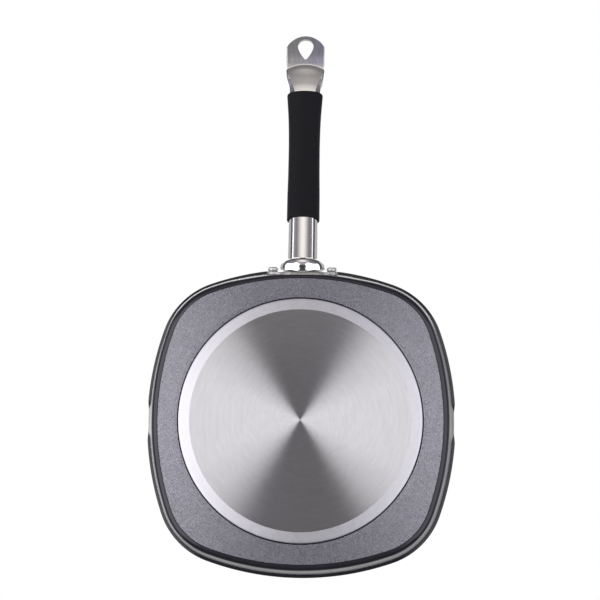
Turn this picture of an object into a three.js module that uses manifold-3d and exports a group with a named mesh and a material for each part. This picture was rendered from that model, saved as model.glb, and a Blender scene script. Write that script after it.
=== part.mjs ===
// Square grill pan with a riveted tubular handle. Millimetres, +Z up.
// Origin: centre of the flat underside of the base. The handle runs along -Y.
import * as THREE from 'three';
import { mergeVertices } from 'three/addons/utils/BufferGeometryUtils.js';
import Module from 'manifold-3d';

const wasm = await Module();
wasm.setup();

// ---- driving dimensions -------------------------------------------------
const GAP = 0.35;               // clearance between pieces that touch
// plan outline: each side is a long arc, corners are short arcs
const RIM_HALF = 140;           // half width at the rim bead, middle of a side
const SIDE_R = 252.8;           // plan radius of a side at the rim
const CORNER_R = 68.4;          // plan radius of a corner at the rim
const PAD_CUT = 2.2;            // depth of the flat in the handle-side wall
const BODY_SEGMENTS = 96;
const ANGLE_BUNCH = 0.35;       // bunches the segments at the pouring dips
// section of the body
const BOTTOM_Z = 5.0;           // flat grey underside around the base
const BOTTOM_HALF = 126.2;      // where the bottom corner starts
const BOTTOM_CORNER_R = 5.1;
const WALL_LEAN = THREE.MathUtils.degToRad(9.5);
const WALL_T = 3.2;
const WALL_TOP_Z = 45.6;        // bead starts here
const RIM_Z = 50.5;
const FLOOR_Z = 9.4;            // cooking floor between the ridges
const FLOOR_CORNER_R = 6;
// pouring dips in the rim, middle of the +X and -X sides
const DIP_DEPTH = 3.8;
const DIP_FLAT = 7;             // half length of the low part
const DIP_END = 19;             // half length where the rim is back at full height
const DIP_FLARE = 0.5;          // the wall leans out this much more in a dip
// grill ridges on the floor
const RIDGE_PITCH = 14;
const RIDGE_SIDE_COUNT = 7;     // ridges on each side of the middle one
const RIDGE_H = 4;
const RIDGE_BASE_W = 6.4;
const RIDGE_TOP_W = 3.2;
const RIDGE_END_HALF = 112;     // ridges end on this inner outline
// base
const RECESS_R = 108.9;
const RECESS_Z = 6.0;
const CAP_R = 107.9;
const CAP_FLAT_R = 97.9;        // inner edge of the chamfered ring
const CAP_RING_Z = 2.2;
const CAP_TOP_Z = 5.5;
const CAP_T = 0.8;
const BASE_SEGMENTS = 60;
// handle centre line in the YZ plane: slope falls evenly from front to tail
const AXIS_Y0 = -137;
const AXIS_Z0 = 28.6;
const SLOPE_0 = THREE.MathUtils.degToRad(16);
const AXIS_Y1 = -365;
const SLOPE_1 = THREE.MathUtils.degToRad(8);
// handle tube: [Y, width, thickness] of the outer section
const TUBE_FRONT_Y = -146.35;   // upright front edge
const TUBE_TIP_Y = -365.25;
const TUBE_WALL = 1.4;
const TUBE_TABLE = [
  [-130, 26.9, 21.6], [-140, 26.9, 21.6], [-165, 26.6, 21.3], [-184, 26.4, 21.0], [-226, 25.7, 20.6],
  [-265, 25.3, 20.0], [-290, 26.9, 18.8], [-302, 27.9, 17.4], [-309, 28.6, 16.2], [-314, 29.8, 14.9],
  [-319.5, 33.0, 13.0], [-323, 34.4, 11.7], [-326.5, 35.2, 10.35], [-329.5, 35.6, 9.25], [-331.8, 35.7, 8.42],
  [-334.3, 35.7, 7.28], [-336, 35.7, 6.4], [-337.3, 35.7, 6.0], [-372, 35.6, 6.0],
];
const CAVITY_END_Y = -316;
const FLAT_FROM_Y = -306;       // the oval section turns flat-faced between these two
const FLAT_TO_Y = -316;
const THIN_FROM_Y = -323;       // the upper half of the tail is pressed thinner between these two
const THIN_TO_Y = -336;
const THIN_TOP = 0.55;
const TAIL_ARC_R = 19.8;        // plan radius of the rounded tail end
const HOLE_Y = -355.2;          // centre of the round part of the hanging hole
const HOLE_R = 7.25;
const HOLE_POINT = 13.6;        // from that centre to the pointed end
// grip
const GRIP_FRONT_Y = -183.6;
const GRIP_REAR_Y = -307.2;
const GRIP_TABLE = [
  [-170, 30.0, 24.4], [-184, 29.9, 24.2], [-205, 29.8, 24.1], [-229, 29.1, 23.9], [-252, 28.9, 23.7],
  [-268, 29.3, 23.7], [-284, 30.4, 23.7], [-299.6, 32.5, 23.7], [-307.5, 33.6, 23.7], [-316, 34.3, 23.7],
];
// bracket and rivets; boss: [Y, half width, lowest Z, highest Z] of its upright section
const BOSS_TABLE = [
  [-128, 20.8, 18.6, 43], [-132, 20.6, 18.0, 43], [-134, 20.5, 17.4, 43], [-137, 20.3, 16.6, 43],
  [-139.5, 20.1, 16.4, 43], [-142.3, 19.3, 16.74, 43], [-144.3, 17.8, 17.34, 43], [-146, 14.7, 18.65, 42.8],
];
const SPIGOT_LENGTH = 22;
const SPIGOT_WALL = 2.2;
const BRACKET_Z = 29;           // height of the rivets and of the middle of the wings
const WING_T = 2.6;
const WING_END_X = 26.3;
const WING_END_R = 6.0;
const WING_MID_HALF_H = 13.9;
const RIVET_X = 26.5;
const RIVET_SHANK_R = 3.0;
const RIVET_HOLE_R = 3.35;
const RIVET_HEAD_R = 4.4;
const RIVET_HEAD_H = 3.8;
const RIVET_INNER_R = 5.8;
const RIVET_INNER_H = 2.2;

// ---- helpers --------------------------------------------------------------
function indexed(geometry) {
  const g = geometry.clone();
  for (const name of Object.keys(g.attributes)) if (name !== 'position') g.deleteAttribute(name);
  const m = mergeVertices(g, 1e-4);
  const src = m.index.array;
  const kept = [];
  for (let i = 0; i < src.length; i += 3) {
    const [a, b, c] = [src[i], src[i + 1], src[i + 2]];
    if (a !== b && b !== c && c !== a) kept.push(a, b, c);
  }
  m.setIndex(kept);
  return m;
}

function solid(geometry) {
  const m = indexed(geometry);
  return new wasm.Manifold(new wasm.Mesh({
    numProp: 3,
    vertProperties: new Float32Array(m.attributes.position.array),
    triVerts: new Uint32Array(m.index.array),
  }));
}

function surface(body) {
  const out = body.getMesh();
  const g = new THREE.BufferGeometry();
  const n = out.numProp;
  const count = out.vertProperties.length / n;
  const p = new Float32Array(count * 3);
  for (let i = 0; i < count; i++) for (let k = 0; k < 3; k++) p[i * 3 + k] = out.vertProperties[i * n + k];
  g.setAttribute('position', new THREE.BufferAttribute(p, 3));
  g.setIndex(new THREE.BufferAttribute(new Uint32Array(out.triVerts), 1));
  g.computeVertexNormals();
  return g;
}

// eased step from 0 at lo to 1 at hi, in either direction
const smooth = (lo, hi, v) => {
  const t = Math.min(1, Math.max(0, (v - lo) / (hi - lo)));
  return t * t * (3 - 2 * t);
};

function table(rows, y, column) {
  if (y >= rows[0][0]) return rows[0][column];
  for (let i = 1; i < rows.length; i++) {
    if (y >= rows[i][0]) {
      const t = (y - rows[i - 1][0]) / (rows[i][0] - rows[i - 1][0]);
      return rows[i - 1][column] + t * (rows[i][column] - rows[i - 1][column]);
    }
  }
  return rows[rows.length - 1][column];
}

// polar radius of the rim outline moved inward by d, its handle side flattened by cut
function outline(theta, d, cut = 0) {
  const round = roundOutline(theta, d);
  const s = -Math.sin(theta);
  return s > 0.5 ? Math.min(round, (RIM_HALF - d - cut) / s) : round;
}

function roundOutline(theta, d) {
  const a = RIM_HALF - d, rs = SIDE_R - d, rc = CORNER_R - d;
  const q = Math.PI / 2;
  const t = Math.abs(((theta + q / 2) % q + q) % q - q / 2);
  const b0 = 2 * (rs - a), c0 = (rs - a) ** 2 - (rs - rc) ** 2;
  const k = (-b0 + Math.sqrt(b0 * b0 - 8 * c0)) / 4;
  const ang = Math.atan2(k, k - a + rs);
  const turn = Math.atan2(rs * Math.sin(ang), a - rs + rs * Math.cos(ang));
  const c = Math.cos(t), s = Math.sin(t);
  if (t < turn) {
    const e = a - rs, b = c * e;
    return b + Math.sqrt(b * b - e * e + rs * rs);
  }
  const b = (c + s) * k;
  return b + Math.sqrt(b * b - 2 * k * k + rc * rc);
}

// outer face of the wall at height z, middle of a side
const WALL_FOOT_R = BOTTOM_HALF + BOTTOM_CORNER_R * Math.cos(WALL_LEAN);
const WALL_FOOT_Z = BOTTOM_Z + BOTTOM_CORNER_R * (1 - Math.sin(WALL_LEAN));
const wallOut = (z) => WALL_FOOT_R + (z - WALL_FOOT_Z) * Math.tan(WALL_LEAN);
const wallIn = (z) => wallOut(z) - WALL_T / Math.cos(WALL_LEAN);

// point on the flat of the handle-side wall: x across, z up the outer face, w out along its normal
function onWall(x, z, w) {
  return new THREE.Vector3(
    x,
    PAD_CUT - wallOut(z) - w * Math.cos(WALL_LEAN),
    z - w * Math.sin(WALL_LEAN),
  );
}

// handle centre line
const SLOPE_RATE = (SLOPE_1 - SLOPE_0) / Math.abs(AXIS_Y1 - AXIS_Y0);
const slopeAt = (y) => SLOPE_0 + SLOPE_RATE * (AXIS_Y0 - y);
const axisZ = (y) => AXIS_Z0 + (Math.log(Math.cos(SLOPE_0)) - Math.log(Math.cos(slopeAt(y)))) / SLOPE_RATE;
function axisFrame(y) {
  const s = slopeAt(y);
  return {
    c: new THREE.Vector3(0, y, axisZ(y)),
    t: new THREE.Vector3(0, -Math.cos(s), Math.sin(s)),
    n: new THREE.Vector3(0, Math.sin(s), Math.cos(s)),
  };
}

// closed loft along the handle axis with rounded oval sections
function loft(yFrom, yTo, steps, sides, width, thickness) {
  const g = new THREE.CylinderGeometry(1, 1, 1, sides, steps);
  const p = g.attributes.position;
  const v = new THREE.Vector3();
  for (let i = 0; i < p.count; i++) {
    const y = yFrom + (yTo - yFrom) * (p.getY(i) + 0.5);
    const f = axisFrame(y);
    const cx = p.getX(i), cz = p.getZ(i);
    const e = 0.92 - 0.5 * smooth(FLAT_FROM_Y, FLAT_TO_Y, y);
    const sx = Math.sign(cx) * Math.abs(cx) ** e, sz = Math.sign(cz) * Math.abs(cz) ** e;
    const top = sz < 0 ? 1 + (THIN_TOP - 1) * smooth(THIN_FROM_Y, THIN_TO_Y, y) : 1;
    v.copy(f.c).addScaledVector(f.n, -sz * top * thickness(y) / 2);
    v.x += sx * width(y) / 2;
    p.setXYZ(i, v.x, v.y, v.z);
  }
  return g;
}

// prism across the handle near the tail, drawn in (x, distance along the axis from y0)
function tailPrism(shape, y0, depth) {
  const g = new THREE.ExtrudeGeometry(shape, { depth, bevelEnabled: false, curveSegments: 12 });
  g.translate(0, 0, -depth / 2);
  const f = axisFrame(y0);
  const m = new THREE.Matrix4().makeBasis(new THREE.Vector3(1, 0, 0), f.t, f.n.clone().negate());
  m.setPosition(f.c);
  g.applyMatrix4(m);
  return g;
}

// ---- pan body ---------------------------------------------------------------
function bodyShell() {
  const ring = [];
  const at = (r, z, plan = 1, bead = 0) => ring.push({ r, z, plan, bead });
  at(0, RECESS_Z, 0);
  at(RECESS_R, RECESS_Z, 0);
  at(RECESS_R, BOTTOM_Z, 0);
  at(BOTTOM_HALF, BOTTOM_Z);
  const sweep = Math.PI / 2 - WALL_LEAN;
  for (let i = 1; i <= 3; i++) {
    const a = sweep * i / 3;
    at(BOTTOM_HALF + BOTTOM_CORNER_R * Math.sin(a), BOTTOM_Z + BOTTOM_CORNER_R * (1 - Math.cos(a)));
  }
  const flare = (z) => -DIP_FLARE * smooth(30, WALL_TOP_Z, z);
  for (const z of [29, 38]) at(wallOut(z), z, 1, flare(z));
  at(wallOut(WALL_TOP_Z), WALL_TOP_Z, 1, -DIP_FLARE);
  at(138.4, 46.4, 1, 0.15);
  at(139.6, 46.9, 1, 0.9);
  at(RIM_HALF + 0.1, 47.8, 1, 1.25);
  at(RIM_HALF, 48.9, 1, 1.2);
  at(139.2, 50.0, 1, 0.75);
  at(137.8, RIM_Z, 1, 0.1);
  at(135.6, 50.0, 1, -0.45);
  at(wallIn(47.5), 47.5, 1, -DIP_FLARE);
  for (const z of [38, 29]) at(wallIn(z), z, 1, flare(z));
  const cz = FLOOR_Z + FLOOR_CORNER_R;
  const cr = wallIn(cz) - FLOOR_CORNER_R / Math.cos(WALL_LEAN);
  for (let i = 3; i >= 0; i--) {
    const a = sweep * i / 3;
    at(cr + FLOOR_CORNER_R * Math.sin(a), cz - FLOOR_CORNER_R * Math.cos(a));
  }
  at(0, FLOOR_Z, 0);

  const g = new THREE.LatheGeometry(ring.map((q) => new THREE.Vector2(q.r, q.z)), BODY_SEGMENTS);
  g.rotateX(Math.PI / 2);
  const p = g.attributes.position;
  for (let i = 0; i <= BODY_SEGMENTS; i++) {
    for (let j = 0; j < ring.length; j++) {
      const k = i * ring.length + j;
      const q = ring[j];
      if (q.r === 0) continue;
      const raw = 2 * Math.PI * (i % BODY_SEGMENTS) / BODY_SEGMENTS - Math.PI / 2;
      const theta = raw - ANGLE_BUNCH * Math.sin(2 * raw);
      let r = q.plan ? outline(theta, RIM_HALF - q.r, PAD_CUT * smooth(BOTTOM_Z, 11, q.z)) : q.r;
      let z = q.z;
      const side = Math.abs(Math.cos(theta)) > 0.9
        ? 1 - smooth(DIP_FLAT, DIP_END, Math.abs(r * Math.sin(theta))) : 0;
      if (side > 0 && z > 20) {
        z -= DIP_DEPTH * side * smooth(22, WALL_TOP_Z, z);
        r -= q.bead * side;
      }
      p.setXYZ(k, r * Math.cos(theta), r * Math.sin(theta), z);
    }
  }
  return g;
}

function outlineHalfLength(x, half) {
  let lo = 0, hi = Math.PI / 2;
  for (let i = 0; i < 50; i++) {
    const mid = (lo + hi) / 2;
    const r = outline(mid, RIM_HALF - half);
    if (r * Math.cos(mid) > Math.abs(x)) lo = mid; else hi = mid;
  }
  return outline(lo, RIM_HALF - half) * Math.sin(lo);
}

function ridge(x) {
  const half = outlineHalfLength(Math.abs(x) + RIDGE_BASE_W / 2, RIDGE_END_HALF);
  const b = RIDGE_BASE_W / 2, t = RIDGE_TOP_W / 2;
  const s = new THREE.Shape();
  s.moveTo(-b, -0.5);
  s.lineTo(b, -0.5);
  s.lineTo(b, 0.3);
  s.lineTo(t + 0.5, RIDGE_H - 0.6);
  s.lineTo(t - 0.5, RIDGE_H);
  s.lineTo(-t + 0.5, RIDGE_H);
  s.lineTo(-t - 0.5, RIDGE_H - 0.6);
  s.lineTo(-b, 0.3);
  s.closePath();
  const g = new THREE.ExtrudeGeometry(s, { depth: 2 * half, bevelEnabled: false });
  g.translate(0, 0, -half);
  g.rotateX(Math.PI / 2);
  const p = g.attributes.position;
  for (let i = 0; i < p.count; i++) {
    const rise = Math.max(0, p.getZ(i)) / RIDGE_H;
    p.setY(i, p.getY(i) * (half - 4 * rise) / half);
  }
  g.translate(x, 0, FLOOR_Z);
  return g;
}

// axis of a rivet: starts in the middle of the wall, points out of the pan
function rivetMatrix(x) {
  const from = onWall(x, BRACKET_Z, -WALL_T / 2);
  const dir = onWall(x, BRACKET_Z, 10).sub(from).normalize();
  const q = new THREE.Quaternion().setFromUnitVectors(new THREE.Vector3(0, 1, 0), dir);
  return new THREE.Matrix4().compose(from, q, new THREE.Vector3(1, 1, 1));
}

function rivetHole(x) {
  const g = new THREE.CylinderGeometry(RIVET_HOLE_R, RIVET_HOLE_R, 24, 20);
  g.applyMatrix4(rivetMatrix(x));
  return g;
}

let bodySolid = solid(bodyShell());
for (let i = -RIDGE_SIDE_COUNT; i <= RIDGE_SIDE_COUNT; i++) {
  bodySolid = bodySolid.add(solid(ridge(i * RIDGE_PITCH)));
}
for (const x of [-RIVET_X, RIVET_X]) bodySolid = bodySolid.subtract(solid(rivetHole(x)));

// ---- base -------------------------------------------------------------------
const profile = (points) => {
  const g = new THREE.LatheGeometry(points.map(([r, z]) => new THREE.Vector2(r, z)), BASE_SEGMENTS);
  g.rotateX(Math.PI / 2);
  return g;
};
const capGeometry = profile([
  [0, 0], [CAP_FLAT_R, 0], [CAP_R - 0.7, CAP_RING_Z], [CAP_R, CAP_RING_Z + 0.7], [CAP_R, CAP_TOP_Z],
  [CAP_R - CAP_T, CAP_TOP_Z], [CAP_R - CAP_T, CAP_RING_Z + 1.0], [CAP_R - CAP_T - 0.4, CAP_RING_Z + 0.7],
  [CAP_FLAT_R - 0.2, CAP_T], [0, CAP_T],
]);
const coreR = CAP_R - CAP_T - GAP;
const coreGeometry = profile([
  [0, CAP_T + GAP], [CAP_FLAT_R - 0.5, CAP_T + GAP], [coreR - 0.5, CAP_RING_Z + 1.15],
  [coreR, CAP_RING_Z + 1.6], [coreR, RECESS_Z - GAP], [0, RECESS_Z - GAP],
]);

// ---- handle bracket -----------------------------------------------------------
function wallSlab(halfX, zLow, zHigh, wLow, wHigh, nx, nz) {
  const g = new THREE.BoxGeometry(1, 1, 1, nx, nz, 1);
  const p = g.attributes.position;
  for (let i = 0; i < p.count; i++) {
    // box X runs across, box Y up the wall, box Z out along its normal
    const v = onWall(
      2 * halfX * p.getX(i),
      zLow + (zHigh - zLow) * (p.getY(i) + 0.5),
      wLow + (wHigh - wLow) * (p.getZ(i) + 0.5),
    );
    p.setXYZ(i, v.x, v.y, v.z);
  }
  return g;
}

function wingOutline() {
  const s = new THREE.Shape();
  const e = WING_END_X, r = WING_END_R, h = WING_MID_HALF_H;
  s.moveTo(e, -r);
  s.absarc(e, 0, r, -Math.PI / 2, Math.PI / 2, false);
  s.bezierCurveTo(e - 7, r, e - 9, h, 10, h);
  s.lineTo(-10, h);
  s.bezierCurveTo(-e + 9, h, -e + 7, r, -e, r);
  s.absarc(-e, 0, r, Math.PI / 2, 3 * Math.PI / 2, false);
  s.bezierCurveTo(-e + 7, -r, -e + 9, -h, -10, -h);
  s.lineTo(10, -h);
  s.bezierCurveTo(e - 9, -h, e - 7, -r, e, -r);
  return s;
}

function bossGeometry() {
  const spans = BOSS_TABLE.length - 1;
  const g = new THREE.CylinderGeometry(1, 1, 1, 36, spans);
  const p = g.attributes.position;
  for (let i = 0; i < p.count; i++) {
    const [y, half, low, high] = BOSS_TABLE[Math.round((p.getY(i) + 0.5) * spans)];
    p.setXYZ(i, half * p.getX(i), y, (low + high) / 2 - p.getZ(i) * (high - low) / 2);
  }
  return g;
}

const outlineGeometry = new THREE.ExtrudeGeometry(wingOutline(), { depth: 60, bevelEnabled: false, curveSegments: 8 });
outlineGeometry.translate(0, 0, -30);
outlineGeometry.rotateX(Math.PI / 2);
outlineGeometry.translate(0, AXIS_Y0, BRACKET_Z - 0.2);

const tubeWidth = (y) => table(TUBE_TABLE, y, 1);
const tubeThick = (y) => table(TUBE_TABLE, y, 2);
const boreTrim = 2 * (TUBE_WALL + GAP);

let bracketSolid = solid(bossGeometry())
  .subtract(solid(wallSlab(45, 4, 60, -30, GAP, 1, 1)))
  .add(solid(wallSlab(40, 12, 50, GAP, GAP + WING_T, 1, 1)).intersect(solid(outlineGeometry)))
  .add(solid(loft(-144, TUBE_FRONT_Y - SPIGOT_LENGTH, 3, 20,
    (y) => tubeWidth(y) - boreTrim, (y) => tubeThick(y) - boreTrim)))
  .subtract(solid(loft(-141, TUBE_FRONT_Y - SPIGOT_LENGTH - 8, 3, 20,
    (y) => tubeWidth(y) - boreTrim - 2 * SPIGOT_WALL, (y) => tubeThick(y) - boreTrim - 2 * SPIGOT_WALL)));
for (const x of [-RIVET_X, RIVET_X]) bracketSolid = bracketSolid.subtract(solid(rivetHole(x)));

// ---- handle tube --------------------------------------------------------------
function tailOutline() {
  const s = new THREE.Shape();
  const length = (HOLE_Y - TUBE_TIP_Y) / Math.cos(slopeAt(HOLE_Y));
  s.moveTo(-TAIL_ARC_R, -240);
  s.lineTo(TAIL_ARC_R, -240);
  s.lineTo(TAIL_ARC_R, length - TAIL_ARC_R);
  s.absarc(0, length - TAIL_ARC_R, TAIL_ARC_R, 0, Math.PI, false);
  s.lineTo(-TAIL_ARC_R, -240);
  return s;
}

function holeOutline() {
  const s = new THREE.Shape();
  const a = Math.acos(HOLE_R / HOLE_POINT);
  const x = HOLE_R * Math.sin(a), y = -HOLE_R * Math.cos(a);
  const bulge = y - 0.26 * (HOLE_POINT + y);
  s.moveTo(0, -HOLE_POINT);
  s.quadraticCurveTo(x, bulge, x, y);
  s.absarc(0, 0, HOLE_R, a - Math.PI / 2, Math.PI + Math.PI / 2 - a, false);
  s.quadraticCurveTo(-x, bulge, 0, -HOLE_POINT);
  return s;
}

const frontCut = new THREE.BoxGeometry(80, 60, 120);
frontCut.translate(0, TUBE_FRONT_Y + 30, AXIS_Z0);

const tubeSolid = solid(loft(TUBE_FRONT_Y + 12, TUBE_TIP_Y - 6, 36, 20, tubeWidth, tubeThick))
  .subtract(solid(loft(TUBE_FRONT_Y + 14, CAVITY_END_Y, 16, 20,
    (y) => tubeWidth(y) - 2 * TUBE_WALL, (y) => tubeThick(y) - 2 * TUBE_WALL)))
  .subtract(solid(frontCut))
  .intersect(solid(tailPrism(tailOutline(), HOLE_Y, 160)))
  .subtract(solid(tailPrism(holeOutline(), HOLE_Y, 40)));

// ---- grip ---------------------------------------------------------------------
const gripSolid = solid(loft(GRIP_FRONT_Y, GRIP_REAR_Y, 10, 20,
  (y) => table(GRIP_TABLE, y, 1), (y) => table(GRIP_TABLE, y, 2)))
  .subtract(solid(loft(GRIP_FRONT_Y + 5, GRIP_REAR_Y - 4, 12, 20,
    (y) => tubeWidth(y) + 2 * GAP, (y) => tubeThick(y) + 2 * GAP)));

// ---- rivets -------------------------------------------------------------------
function rivetGeometry(x) {
  const inside = -WALL_T / 2 - GAP;
  const outside = WALL_T / 2 + GAP + WING_T + GAP;
  const g = new THREE.LatheGeometry([
    [0, inside - RIVET_INNER_H], [RIVET_INNER_R - 2.2, inside - RIVET_INNER_H + 0.2],
    [RIVET_INNER_R - 0.6, inside - RIVET_INNER_H + 1.0], [RIVET_INNER_R, inside - 0.4], [RIVET_INNER_R, inside],
    [RIVET_SHANK_R, inside], [RIVET_SHANK_R, outside],
    [RIVET_HEAD_R, outside], [RIVET_HEAD_R, outside + RIVET_HEAD_H - 1.8],
    [RIVET_HEAD_R - 0.7, outside + RIVET_HEAD_H - 0.7], [RIVET_HEAD_R - 2.0, outside + RIVET_HEAD_H - 0.1],
    [0, outside + RIVET_HEAD_H],
  ].map(([r, s]) => new THREE.Vector2(r, s)), 20);
  g.applyMatrix4(rivetMatrix(x));
  return g;
}

// ---- materials and assembly ---------------------------------------------------
const coated = new THREE.MeshStandardMaterial({ color: 0x5f5e66, roughness: 0.45, metalness: 0.7 });
const steel = new THREE.MeshStandardMaterial({ color: 0xcfcdd0, roughness: 0.28, metalness: 1.0 });
const polished = new THREE.MeshStandardMaterial({ color: 0xd9d8da, roughness: 0.1, metalness: 1.0 });
const core = new THREE.MeshStandardMaterial({ color: 0xb8b8bc, roughness: 0.5, metalness: 1.0 });
const silicone = new THREE.MeshStandardMaterial({ color: 0x1d1d20, roughness: 0.7, metalness: 0.0 });

function piece(name, geometry, material) {
  const mesh = new THREE.Mesh(geometry, material);
  mesh.name = name;
  return mesh;
}

const pan = new THREE.Group();
const base = new THREE.Group();
const handle = new THREE.Group();
pan.add(piece('pan_body', surface(bodySolid), coated));
base.add(piece('base_core_disc', indexed(coreGeometry), core));
base.add(piece('base_steel_cap', indexed(capGeometry), steel));
handle.add(piece('handle_bracket', surface(bracketSolid), polished));
handle.add(piece('handle_tube', surface(tubeSolid), polished));
handle.add(piece('grip_sleeve', surface(gripSolid), silicone));
handle.add(piece('rivet_left', indexed(rivetGeometry(-RIVET_X)), polished));
handle.add(piece('rivet_right', indexed(rivetGeometry(RIVET_X)), polished));
pan.add(base, handle);

export default pan;
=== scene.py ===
import math

import bmesh
import bpy
import numpy as np
from mathutils import Matrix, Vector
from mathutils.geometry import delaunay_2d_cdt


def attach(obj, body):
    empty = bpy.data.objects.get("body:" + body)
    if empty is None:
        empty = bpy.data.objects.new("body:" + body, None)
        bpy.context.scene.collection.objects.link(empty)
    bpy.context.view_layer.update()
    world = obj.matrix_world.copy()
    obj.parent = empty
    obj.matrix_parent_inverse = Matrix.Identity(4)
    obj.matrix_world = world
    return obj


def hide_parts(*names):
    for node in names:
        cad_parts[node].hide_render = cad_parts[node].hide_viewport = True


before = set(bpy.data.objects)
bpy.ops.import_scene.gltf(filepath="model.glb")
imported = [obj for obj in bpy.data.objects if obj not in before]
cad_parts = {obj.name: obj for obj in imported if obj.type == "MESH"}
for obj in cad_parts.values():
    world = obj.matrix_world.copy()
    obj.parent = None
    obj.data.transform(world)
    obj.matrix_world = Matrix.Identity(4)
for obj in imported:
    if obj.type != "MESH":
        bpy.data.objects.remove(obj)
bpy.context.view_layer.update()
scene = bpy.context.scene
scene.view_settings.view_transform = "Standard"
scene.view_settings.look = "None"

# ---------------------------------------------------------------- dimensions, mm
GAP = 0.35
RIM_HALF, SIDE_R, CORNER_R = 140.0, 252.8, 68.4
PAD_CUT = 2.2
BOTTOM_Z, BOTTOM_HALF, BOTTOM_CORNER_R = 5.0, 126.2, 5.1
WALL_LEAN = math.radians(9.5)
WALL_T, WALL_TOP_Z, RIM_Z = 3.2, 45.6, 50.5
SOFT_CORNER_R, SLIM_LIP_R = 6.1, 137.65
FLOOR_Z, FLOOR_CORNER_R = 9.4, 6.0
DIP_DEPTH, DIP_FLAT, DIP_END, DIP_FLARE = 3.8, 7.0, 19.0, 0.5
RIDGE_PITCH, RIDGE_SIDE_COUNT, RIDGE_END_HALF = 14.0, 7, 112.0
RECESS_R, RECESS_Z = 108.9, 6.0
CAP_R, CAP_FLAT_R, CAP_RING_Z, CAP_TOP_Z, CAP_T = 107.9, 97.9, 2.2, 5.5, 0.8
AXIS_Y0, AXIS_Z0, SLOPE_0 = -137.0, 28.6, math.radians(16)
AXIS_Y1, SLOPE_1 = -365.0, math.radians(8)
TUBE_FRONT_Y, TUBE_TIP_Y, TUBE_WALL = -146.35, -365.2, 1.4
TUBE_TABLE = [
    (-140, 26.9, 21.6), (-165, 26.6, 21.3), (-184, 26.4, 21.0), (-226, 25.7, 20.6),
    (-265, 25.3, 20.0), (-290, 26.9, 18.8), (-302, 27.9, 17.4), (-309, 28.6, 16.2), (-314, 29.8, 14.9),
    (-319.5, 33.0, 13.0), (-323, 34.4, 11.7), (-326.5, 35.2, 10.35), (-329.5, 35.6, 9.25), (-331.8, 35.7, 8.42), (-333.1, 35.7, 7.88),
    (-334.3, 35.7, 7.28), (-335.2, 35.7, 6.8), (-336.0, 35.7, 6.4), (-336.6, 35.7, 6.12), (-337.3, 35.7, 6.0), (-372, 35.6, 6.0),
]
TAIL_ARC_R = 19.8
HOLE_Y, HOLE_R, HOLE_POINT = -355.2, 7.25, 13.6
GRIP_FRONT_Y, GRIP_REAR_Y = -183.6, -307.2
GRIP_TABLE = [
    (-170, 30.0, 24.4), (-184, 29.9, 24.2), (-205, 29.8, 24.1), (-229, 29.1, 23.9), (-252, 28.9, 23.7), (-268, 29.3, 23.7),
    (-284, 30.4, 23.7), (-299.6, 32.5, 23.7), (-307.5, 33.6, 23.7), (-316, 34.3, 23.7),
]
# boss: Y, half width, lowest and highest Z of its upright section
BOSS_TABLE = [
    (-128, 20.8, 18.6, 43.0), (-132, 20.6, 18.0, 43.0), (-134, 20.5, 17.4, 43.0), (-135.5, 20.4, 16.98, 43.0), (-137, 20.3, 16.62, 43.0),
    (-138.3, 20.2, 16.45, 43.0), (-139.5, 20.1, 16.4, 43.0), (-141, 19.8, 16.49, 43.0), (-142.3, 19.3, 16.74, 43.0),
    (-143.3, 18.7, 17.01, 43.0), (-144.3, 17.8, 17.34, 43.0), (-145.0, 16.9, 17.62, 42.95), (-145.5, 16.0, 17.9, 42.9), (-145.85, 15.2, 18.25, 42.85),
    (-146.0, 14.7, 18.65, 42.8),
]
BOSS_FRONT_Y = -146.0
SPIGOT_LENGTH = 22.0
BRACKET_Z, WING_T, WING_END_X, WING_END_R, WING_MID_HALF_H = 29.0, 2.6, 26.3, 6.0, 13.9
RIVET_X, RIVET_SHANK_R, RIVET_HOLE_R = 26.5, 3.0, 3.35
RIVET_HEAD_R, RIVET_HEAD_H, RIVET_INNER_R, RIVET_INNER_H = 4.4, 3.8, 5.8, 2.2


# ---------------------------------------------------------------- geometry helpers
def smooth(lo, hi, v):
    t = np.clip((np.asarray(v, float) - lo) / (hi - lo), 0, 1)
    return t * t * (3 - 2 * t)


def soft_table(rows, column):
    """Monotone cubic through a table of rows ordered by falling Y."""
    y = np.array([r[0] for r in rows], float)[::-1]
    v = np.array([r[column] for r in rows], float)[::-1]
    h = np.diff(y)
    d = np.diff(v) / h
    m = np.zeros_like(v)
    m[0], m[-1] = d[0], d[-1]
    for i in range(1, len(v) - 1):
        if d[i - 1] * d[i] > 0:
            w1, w2 = 2 * h[i] + h[i - 1], h[i] + 2 * h[i - 1]
            m[i] = (w1 + w2) / (w1 / d[i - 1] + w2 / d[i])

    def at(q):
        q = min(max(q, y[0]), y[-1])
        k = int(min(max(np.searchsorted(y, q) - 1, 0), len(h) - 1))
        t = (q - y[k]) / h[k]
        return ((1 + 2 * t) * (1 - t) ** 2 * v[k] + t * (1 - t) ** 2 * h[k] * m[k]
                + t * t * (3 - 2 * t) * v[k + 1] + t * t * (t - 1) * h[k] * m[k + 1])
    return at


def spline(points, per):
    """Catmull-Rom through points, per steps in each span, ends included."""
    p = np.array(points, float)
    q = np.vstack([2 * p[0] - p[1], p, 2 * p[-1] - p[-2]])
    out = []
    for i in range(1, len(q) - 2):
        for j in range(per):
            t = j / per
            out.append(0.5 * (2 * q[i] + (q[i + 1] - q[i - 1]) * t
                              + (2 * q[i - 1] - 5 * q[i] + 4 * q[i + 1] - q[i + 2]) * t * t
                              + (3 * q[i] - q[i - 1] - 3 * q[i + 1] + q[i + 2]) * t ** 3))
    out.append(p[-1])
    return np.array(out)


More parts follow.
